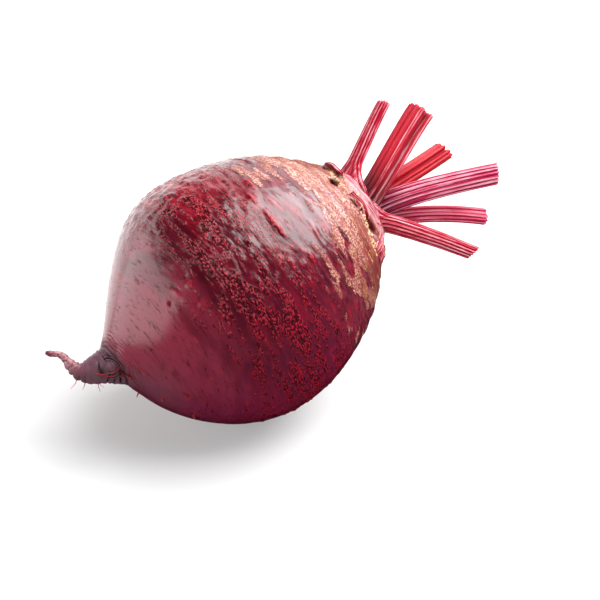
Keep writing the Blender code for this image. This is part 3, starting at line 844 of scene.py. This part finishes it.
def make_stalk(name, line, width, thickness, ribs, looks, sheath, channel, aside, bare, slant, material):
    """One stalk from its row of measures."""
    sides = SIDES_PER_RIB * ribs
    # Painted shade at the feet: full on the inner stalks, which stand in each other's shade, and 0.3 of it on
    # the two with broad sheaths.
    shade = 0.3 if max(sheath[:2]) > 1.0 else 1.0
    bm = bmesh.new()
    corners = bmesh.ops.create_circle(bm, segments=sides, radius=1.0)["verts"]
    ring_edges = list(bm.edges)
    close_across(bm, corners)
    shades = []
    for step in range(STALK_RINGS):
        share = (step / (STALK_RINGS - 1)) ** 1.3
        if step:
            ring_edges, corners = extrude_ring(bm, ring_edges)
        middle, direction = bezier(line, share)
        look = radians(looks[0] + (looks[1] - looks[0]) * ease(share, 0.0, FOOT_TURNS_BY))
        outward = Vector((cos(look), sin(look), 0.0))
        outward = (outward - direction * outward.dot(direction)).normalized()
        sideways = direction.cross(outward)
        wide = width[0] + (width[1] - width[0]) * share
        foot = max(1.0 - share / sheath[2], 0.0) ** 1.5
        shaded = shade * (1.0 - float(ease(share, 0.08, 0.55)))
        curl = foot / max(Vector(line[0][:2]).length, TIGHTEST_CURL)
        for i, corner in enumerate(corners):
            turn = 2 * pi * i / sides
            crest = abs(cos(ribs * turn / 2)) ** 0.7
            reach = 0.5 * wide + foot * sheath[1 if cos(turn) > 0 else 0]
            rib = RIB_DEPTH * (2 * crest - 1.1) * (1 - 0.7 * foot)
            x = (reach + rib) * cos(turn)
            beyond = min(max(abs(x) - 0.5 * wide, 0.0) / 6.0, 1.0)
            y = (0.5 * thickness * (1 - SHEATH_THINS_BY * beyond) + rib) * sin(turn)
            hollow = exp(-(((x - aside * wide) / (CHANNEL_SHARE * wide)) ** 2)) * (sin(turn) < 0)
            y += channel * hollow * (1 - foot)
            pale = crest - bare * float(ease(x / wide, 0.05, 0.3))
            # The last value is painted shade for the foot layer: towards the foot, and in the channel.
            shades.append((x, y, share * FIBRE_LENGTH, pale, max(shaded, 0.4 * channel * hollow**2)))
            if curl > 1e-6:
                x, y = (1 / curl + y) * sin(curl * x), (1 / curl + y) * cos(curl * x) - 1 / curl
            cut = (slant * x + 0.35 * crest) * (step == STALK_RINGS - 1)
            corner.co = middle + sideways * x + outward * y + direction * cut
    bmesh.ops.contextual_create(bm, geom=ring_edges)
    piece = lay_down(name.replace("stalk", "leaf_stalk"), bm, material)
    shades = np.array(shades, np.float32)
    fibre = piece.data.attributes.new("fibre", "FLOAT_VECTOR", "POINT")
    fibre.data.foreach_set("vector", shades[:, :3].ravel())
    paint(piece, rib=shades[:, 3], foot=shades[:, 4])
    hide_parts(name)


for name, stalk in STALKS.items():
    make_stalk(name, *stalk)

# %% [markdown]
# ## A place on the skin
#
# What comes next hugs the skin, and a shrinkwrap modifier could press it on. It would also flatten it.
# Reading a point of the finished skin, with the ways out and up there, leaves each piece free to rise
# from it as far as it should.


# %% Find a place on the skin
def on_skin(travel, turn):
    """A point of the skin by the way over it from the tail and the turn, with out and up there."""
    row = int(np.clip(np.searchsorted(TRAVEL, travel), 1, ROWS - 2))
    away = (TURN - radians(turn) + pi) % (2 * pi) - pi
    column = int(np.abs(away).argmin())
    share = float(np.clip((travel - TRAVEL[row - 1]) / (TRAVEL[row] - TRAVEL[row - 1]), 0, 1))
    step = 1 if away[column] < 0 else -1
    beside = (column + step) % SIDES
    gap = abs((TURN[beside] - TURN[column] + pi) % (2 * pi) - pi)
    part = min(abs(away[column]) / gap, 1.0)
    low = PLACES[row - 1, column] * (1 - part) + PLACES[row - 1, beside] * part
    high = PLACES[row, column] * (1 - part) + PLACES[row, beside] * part
    up = Vector(PLACES[row + 1, column] - PLACES[row - 1, column]).normalized()
    round_by = Vector(PLACES[row, (column + 1) % SIDES] - PLACES[row, column - 1]).normalized()
    return Vector(low * (1 - share) + high * share), round_by.cross(up).normalized(), up


def travel_at(height):
    """The way over the skin from the tip to a height above the bent end of the tail."""
    return float(np.interp(height, HEIGHT[HEIGHT > -60], TRAVEL[HEIGHT > -60]))


def thicken(bm, thickness):
    """Gives sheets a wall: a copy of them, set inwards along the points' own normals."""
    made = bmesh.ops.extrude_face_region(bm, geom=list(bm.faces), use_keep_orig=True)["geom"]
    bm.normal_update()
    for vert in [part for part in made if isinstance(part, bmesh.types.BMVert)]:
        vert.co -= vert.normal * thickness


print("the crown's rim is", round(travel_at(48.0), 1), "mm from the tip over the skin")

# %% [markdown]
# ## Torn leaf bases
#
# Older leaves were pulled off before. Their bases stay round the rim: thin scales with torn ends, pale
# ribs and dark red flesh between them. Two smooth pink bands run along the rim at the feet
# of the near stalks. One bent strip, copied round, would be quicker, but no two bases tore alike. So each
# is a small grid laid on the skin, ribbed by formula and torn at its end by a noise. They wear the same
# flesh as the stalks, since that is what they are.

# %% Lay the torn bases
# The third colour of each is the painted shade at its foot.
TORN_BASE = stalk_flesh("torn_leaf_base", "#E0B0B4", "#980E2C", "#2A0408", 0.66)
SHEATH_BAND = stalk_flesh("sheath_band_pink", "#E2A4AC", "#C23A56", "#6A1024", 0.30)
# Height, turn, width, length, ribs, whether it lies along the rim, and how far it lifts.
BANDS = ((50.4, 80.0, 3.0, 16.0, 3, True, 0.9), (49.4, 108.0, 3.0, 8.0, 3, True, 0.8))
SCALES = (
    (47.8, 43.0, 2.8, 6.5, 3, True, 1.3), (45.6, 91.0, 5.2, 9.0, 4, True, 1.2),
    (41.5, 136.0, 8.0, 8.5, 6, False, 0.9), (45.0, 170.0, 7.0, 6.0, 5, False, 0.8),
    (45.5, 205.0, 8.0, 6.5, 6, False, 1.0), (46.0, 240.0, 6.0, 5.5, 5, True, 0.8),
    (45.0, 290.0, 8.0, 6.5, 6, False, 1.0), (46.0, 330.0, 6.0, 6.0, 5, False, 0.9),
)
SCALE_WALL = 0.6


def add_scale(bm, height, turn, wide, long, ribs, along_crown, lift, seed):
    """One torn leaf base: ribbed, risen in the middle, with a ragged end. It may lie along the rim."""
    rib_layer = bm.verts.layers.float["rib"]
    foot_layer = bm.verts.layers.float["foot"]
    fibre_layer = bm.verts.layers.float_vector["fibre"]
    points = bmesh.ops.create_grid(bm, x_segments=6 * ribs, y_segments=10, size=0.5)["verts"]
    for vert in points:
        u, v = vert.co.x, vert.co.y + 0.5
        ragged = 1.0 + 0.35 * noise.noise(Vector((u * 9.0, seed, 0.0)))
        crest = abs(cos(pi * ribs * (u + 0.5)))
        x, y = u * wide * (1.0 - 0.25 * v), v * long * ragged
        if along_crown:
            x, y = y - 0.5 * long, -x
        radius = float(np.interp(height, HEIGHT, RADIUS))
        place, out, _ = on_skin(travel_at(height) + y, turn + np.degrees(x / radius))
        rise = lift * (0.35 + 0.65 * v) * (1.0 - (2 * u) ** 4) + 0.35 * crest - 0.3
        vert.co = place + out * (rise + 0.3 * noise.noise(place * 0.6))
        vert[rib_layer] = crest
        # A light painted shade at the foot of each scale and band, where it meets the skin.
        vert[foot_layer] = 0.25 * (1 - v)
        vert[fibre_layer] = (u * wide, 0.0, v * long)


for name, rows, material in (("sheath_bands", BANDS, SHEATH_BAND), ("torn_leaf_bases", SCALES, TORN_BASE)):
    bm = bmesh.new()
    for layer in ("rib", "foot"):
        bm.verts.layers.float.new(layer)
    bm.verts.layers.float_vector.new("fibre")
    for seed, row in enumerate(rows):
        add_scale(bm, *row, seed)
    thicken(bm, SCALE_WALL)
    piece = lay_down(name, bm, material)

# %% [markdown]
# ## Flakes of dry cork
#
# Where the cork is thickest it lifts off in small dry flakes, cream, ochre and grey, along the edge of the
# crown. Copies of one flake would be lighter, but the eye soon sees that they are alike. Each flake here
# is a grid of its own with a few points, so that each can be torn in its own way.

# %% Dry cork
# Dead beet cork, dried in the air: brittle crumbs from cream to dark brown, quite matt. Its patches are
# about 0.7 mm across.
CORK_PATCH_MM = 0.67
DRY_COLOURS = ("#5A281C", "#A86C38", "#DCB98C", "#B08C88")

DRY_CORK, tree, shader = new_finish("dry_cork_flakes")
grown = add(tree, "Attribute", out=1, attribute_name="grown")
scaled = add(tree, "Mapping", {"Vector": grown, "Scale": (1 / CORK_PATCH_MM,) * 3})
mottle = add(tree, "TexNoise", {"Vector": scaled, "Scale": 1.0, "Detail": 3.0, "Roughness": 0.6})
colour = linear(DRY_COLOURS[0])
for i, top in enumerate(DRY_COLOURS[1:]):
    share = add(tree, "MapRange", (mottle, 0.34 + 0.09 * i, 0.48 + 0.09 * i), **SMOOTH)
    colour = add(tree, "Mix", {0: share, 6: colour, 7: linear(top)}, 2, data_type="RGBA")
tree.links.new(colour, shader.inputs["Base Color"])
shader.inputs["Roughness"].default_value = 0.6
normal = add(tree, "Bump", {"Height": mottle, "Distance": 0.3 * MM, "Strength": 0.8})
tree.links.new(normal, shader.inputs["Normal"])
print(DRY_CORK.name, "has", len(DRY_COLOURS), "colours")

# %% Scatter the flakes
# The edge of the cork, as heights at turns, and two turns where a stump stands and flakes stay below it.
EDGE_TURNS = (0, 38, 54, 73, 97, 106, 116, 130, 155, 360)
EDGE_HEIGHTS = (45.5, 45.8, 44.6, 42.8, 44.0, 42.2, 40.6, 39.0, 43.5, 45.5)
STUMP_TURNS, STUMP_BASE = (30.0, 54.0), 45.8
FLAKES = 150
FLAKE_WALL = 0.2

bm = bmesh.new()
draw = Random(17)
for _ in range(FLAKES):
    turn = draw.uniform(0.0, 360.0)
    height = float(np.interp(turn, EDGE_TURNS, EDGE_HEIGHTS))
    height += draw.choice((0.0, 0.0, 0.8, 3.0)) + draw.gauss(0, 0.4)
    height = min(height, STUMP_BASE) if STUMP_TURNS[0] < turn < STUMP_TURNS[1] else height
    wide, long, lean = draw.uniform(1.2, 3.6), draw.uniform(0.8, 1.7), draw.uniform(0.1, 0.7)
    seed = draw.uniform(0.0, 90.0)
    for vert in bmesh.ops.create_grid(bm, x_segments=4, y_segments=3, size=0.5)["verts"]:
        u, v = vert.co.x, vert.co.y + 0.5
        ragged = noise.noise(Vector((3.0 * u, 2.0 * v, seed)))
        radius = float(np.interp(height, HEIGHT, RADIUS))
        place, out, up = on_skin(travel_at(height), turn + np.degrees(u * wide / radius))
        reach = v * long * (1.0 + 0.5 * ragged)
        vert.co = place + up * reach * cos(lean) + out * (reach * sin(lean) - 0.2 + 0.25 * ragged)
thicken(bm, FLAKE_WALL)
dry = lay_down("dry_cork_flakes", bm, DRY_CORK)

# %% [markdown]
# ## Hairs and root stubs
#
# Fine side roots grow from the tail and low on the belly. Most broke off to red stubs when the beet was
# pulled, and a few thin hairs are left. Blender's hair curves would be quicker to grow, but they are no
# mesh, and the whole root is one. So each is a small ring of points, drawn out along a smooth line and
# made thinner towards its end.

# %% Hairs and stubs
HAIR_SIDES = 6
HAIR_RINGS = 12
# Height, turn, length, thickness and bend.
ROOTLETS = (
    (-59.5, 169.0, 3.6, 0.4, -0.6), (-58.1, 183.0, 2.2, 0.5, -0.3), (-55.3, 188.0, 2.6, 0.35, 0.2),
    (-55.0, 176.0, 2.0, 0.25, 0.5), (-49.0, 131.0, 1.7, 0.8, 0.4), (-48.1, 134.0, 1.4, 0.9, 0.3),
    (-46.4, 205.0, 1.6, 0.8, 0.3), (-43.6, 155.0, 1.2, 1.0, 0.3), (-38.5, 138.0, 1.3, 0.9, 0.5),
    (-38.0, 141.0, 1.0, 0.6, -0.5), (-37.6, 170.0, 1.6, 0.7, 0.6), (-53.0, 296.0, 3.0, 0.4, 0.4),
    (-44.0, 312.0, 2.4, 0.5, 0.4), (-35.0, 330.0, 1.6, 0.6, 0.3), (-51.0, 240.0, 2.6, 0.35, -0.4),
)
# Height, turn and lift of each point of a hair that lies on the skin, then its thickness.
LYING_HAIRS = (
    (((-56.3, 108, -0.2), (-53.8, 118, 0.7), (-51.4, 118, 1.0), (-49.4, 106, 0.3), (-48.6, 100, -0.2)), 0.32),
    (((-55.6, 114, -0.2), (-53.4, 124, 0.6), (-51.0, 122, 0.7), (-49.2, 112, 0.2)), 0.26),
    (((-45.9, 98, -0.1), (-44.8, 109, 0.25), (-44.2, 118, 0.2), (-43.4, 126, -0.1)), 0.28),
    (((-49.6, 118, -0.1), (-48.6, 127, 0.8), (-47.2, 130, 0.3)), 0.24),
)


def add_hair(bm, line, thick, taper):
    """A tapered tube along a smooth line through a few points."""
    path = smooth_through(line, HAIR_RINGS)
    path = [Vector(point) for point in path[:: max(len(path) // HAIR_RINGS, 1)]]
    corners = bmesh.ops.create_circle(bm, cap_ends=True, segments=HAIR_SIDES, radius=1.0)["verts"]
    edges = list(dict.fromkeys(edge for vert in corners for edge in vert.link_edges))
    for step, place in enumerate(path):
        if step:
            edges, corners = extrude_ring(bm, edges)
        ahead = path[min(step + 1, len(path) - 1)] - path[max(step - 1, 0)]
        square_to = ahead.to_track_quat("Z", "Y")
        half = 0.5 * thick * (1.0 - taper * step / (len(path) - 1))
        for i, corner in enumerate(corners):
            turn = 2 * pi * i / HAIR_SIDES
            corner.co = place + square_to @ Vector((cos(turn) * half, sin(turn) * half, 0.0))
    bmesh.ops.contextual_create(bm, geom=edges)


# A side root that dried to a thread or a stub: matt, and redder than the skin.
HAIR, _, hair_shader = new_finish("root_hair_red")
hair_shader.inputs["Base Color"].default_value = linear("#B42A28")
hair_shader.inputs["Roughness"].default_value = 0.5

bm = bmesh.new()
for height, turn, length, thick, bend in ROOTLETS:
    place, out, up = on_skin(travel_at(height), turn)
    reaches = (-1.2, 0.3 * length, length)
    line = [place + out * reach + up * bend * max(reach, 0) ** 2 / length for reach in reaches]
    add_hair(bm, line, thick, 0.7)
for line, thick in LYING_HAIRS:
    points = [(on_skin(travel_at(height), turn), lift) for height, turn, lift in line]
    add_hair(bm, [place + out * lift for (place, out, _), lift in points], thick, 0.5)
piece = lay_down("root_hairs", bm, HAIR)

# %% [markdown]
# ## Camera
#
# The camera looks down by 30 degrees on the root, from the side that the tail and the stalks both show
# on. A long lens from nearly a metre away keeps sizes true, as a product photographer would have it.

# %% Place the camera
AZIMUTH = radians(-34.0)
ELEVATION = radians(30.0)
DISTANCE = 0.9
AIM_RIGHT, AIM_UP = 21.0, -3.1
RIGHT = Vector((cos(AZIMUTH), sin(AZIMUTH), 0.0))
LEVEL = Vector((-sin(AZIMUTH), cos(AZIMUTH), 0.0))
FORWARD = LEVEL * cos(ELEVATION) - UPRIGHT * sin(ELEVATION)
UP = LEVEL * sin(ELEVATION) + UPRIGHT * cos(ELEVATION)

camera = bpy.data.objects.new("camera", bpy.data.cameras.new("camera"))
bpy.context.scene.collection.objects.link(camera)
camera.data.lens = 162.0
camera.data.sensor_width = 36.0
camera.data.clip_start = 0.01
camera.location = (BELLY_CENTRE + RIGHT * AIM_RIGHT + UP * AIM_UP) * MM - FORWARD * DISTANCE
camera.rotation_euler = FORWARD.to_track_quat("-Z", "Y").to_euler()
bpy.context.scene.camera = camera
print("camera at", [round(c, 3) for c in camera.location], "m")

# %% [markdown]
# ## Light and floor
#
# The light is a studio's. One big soft box stands high over the root and gives the broad lilac gloss. A
# second one, high behind, carries that gloss on to the top edge, one at the left gives the pale sheen low
# on the belly, and one behind draws the bright rim. Two weak ones only fill the shadows and don't show in
# the gloss, and nor does the grey of the room. The floor is a pale sheet on a light table: it glows a
# little, and is kept out of the gloss too, or the root's underside would turn grey.

# %% Soft boxes
# Name, the direction it stands in as seen from the belly, distance, size, power, and whether it shows
# in the gloss.
SOFT_BOXES = (
    ("soft_box_above", (0.575, -0.125, 0.84), 4.0, (4.0, 4.4), 465.0, True),
    ("soft_box_high_behind", (0.735, 0.45, 0.507), 4.0, (5.0, 3.2), 92.0, True),
    ("soft_fill_above", (0.45, -0.20, 0.85), 4.0, (5.5, 5.5), 105.0, False),
    ("soft_box_left", (-0.838, 0.546, 0.07), 3.0, (4.2, 1.7), 70.0, True),
    ("soft_box_behind", (0.087, 0.996, -0.12), 3.0, (2.9, 3.2), 52.0, True),
    ("soft_fill_front", (-0.62, -0.62, 0.36), 3.0, (4.0, 3.0), 14.0, False),
)
for name, towards, distance, size, power, in_gloss in SOFT_BOXES:
    towards = Vector(towards)
    data = bpy.data.lights.new(name, "AREA")
    data.shape = "RECTANGLE"
    data.size, data.size_y = size
    data.energy = power
    lamp = bpy.data.objects.new(name, data)
    bpy.context.scene.collection.objects.link(lamp)
    lamp.location = BELLY_CENTRE * MM + towards.normalized() * distance
    lamp.rotation_euler = (-towards).to_track_quat("-Z", "Y").to_euler()
    lamp.visible_camera = False
    lamp.visible_glossy = in_gloss
    print(name, power, "W")

world = bpy.data.worlds.new("studio")
bpy.context.scene.world = world
world.use_nodes = True
world.node_tree.nodes["Background"].inputs["Color"].default_value = (1, 1, 1, 1)
world.node_tree.nodes["Background"].inputs["Strength"].default_value = 0.08
world.cycles_visibility.glossy = False
bpy.context.scene.view_settings.view_transform = "Standard"

# %% Floor
# Matt paper over a light table: pale and even, with only a soft shadow on it.
PAPER, _, paper_shader = new_finish("paper_backdrop_matte")
paper_shader.inputs["Base Color"].default_value = linear("#B0B0B0")
paper_shader.inputs["Roughness"].default_value = 0.9
paper_shader.inputs["Emission Color"].default_value = (1, 1, 1, 1)
paper_shader.inputs["Emission Strength"].default_value = 0.35
bm = bmesh.new()
bmesh.ops.create_grid(bm, x_segments=1, y_segments=1, size=8.0)
mesh = bpy.data.meshes.new("floor")
bm.to_mesh(mesh)
bm.free()
mesh.materials.append(PAPER)
floor = bpy.data.objects.new("floor", mesh)
bpy.context.scene.collection.objects.link(floor)
floor.visible_glossy = False
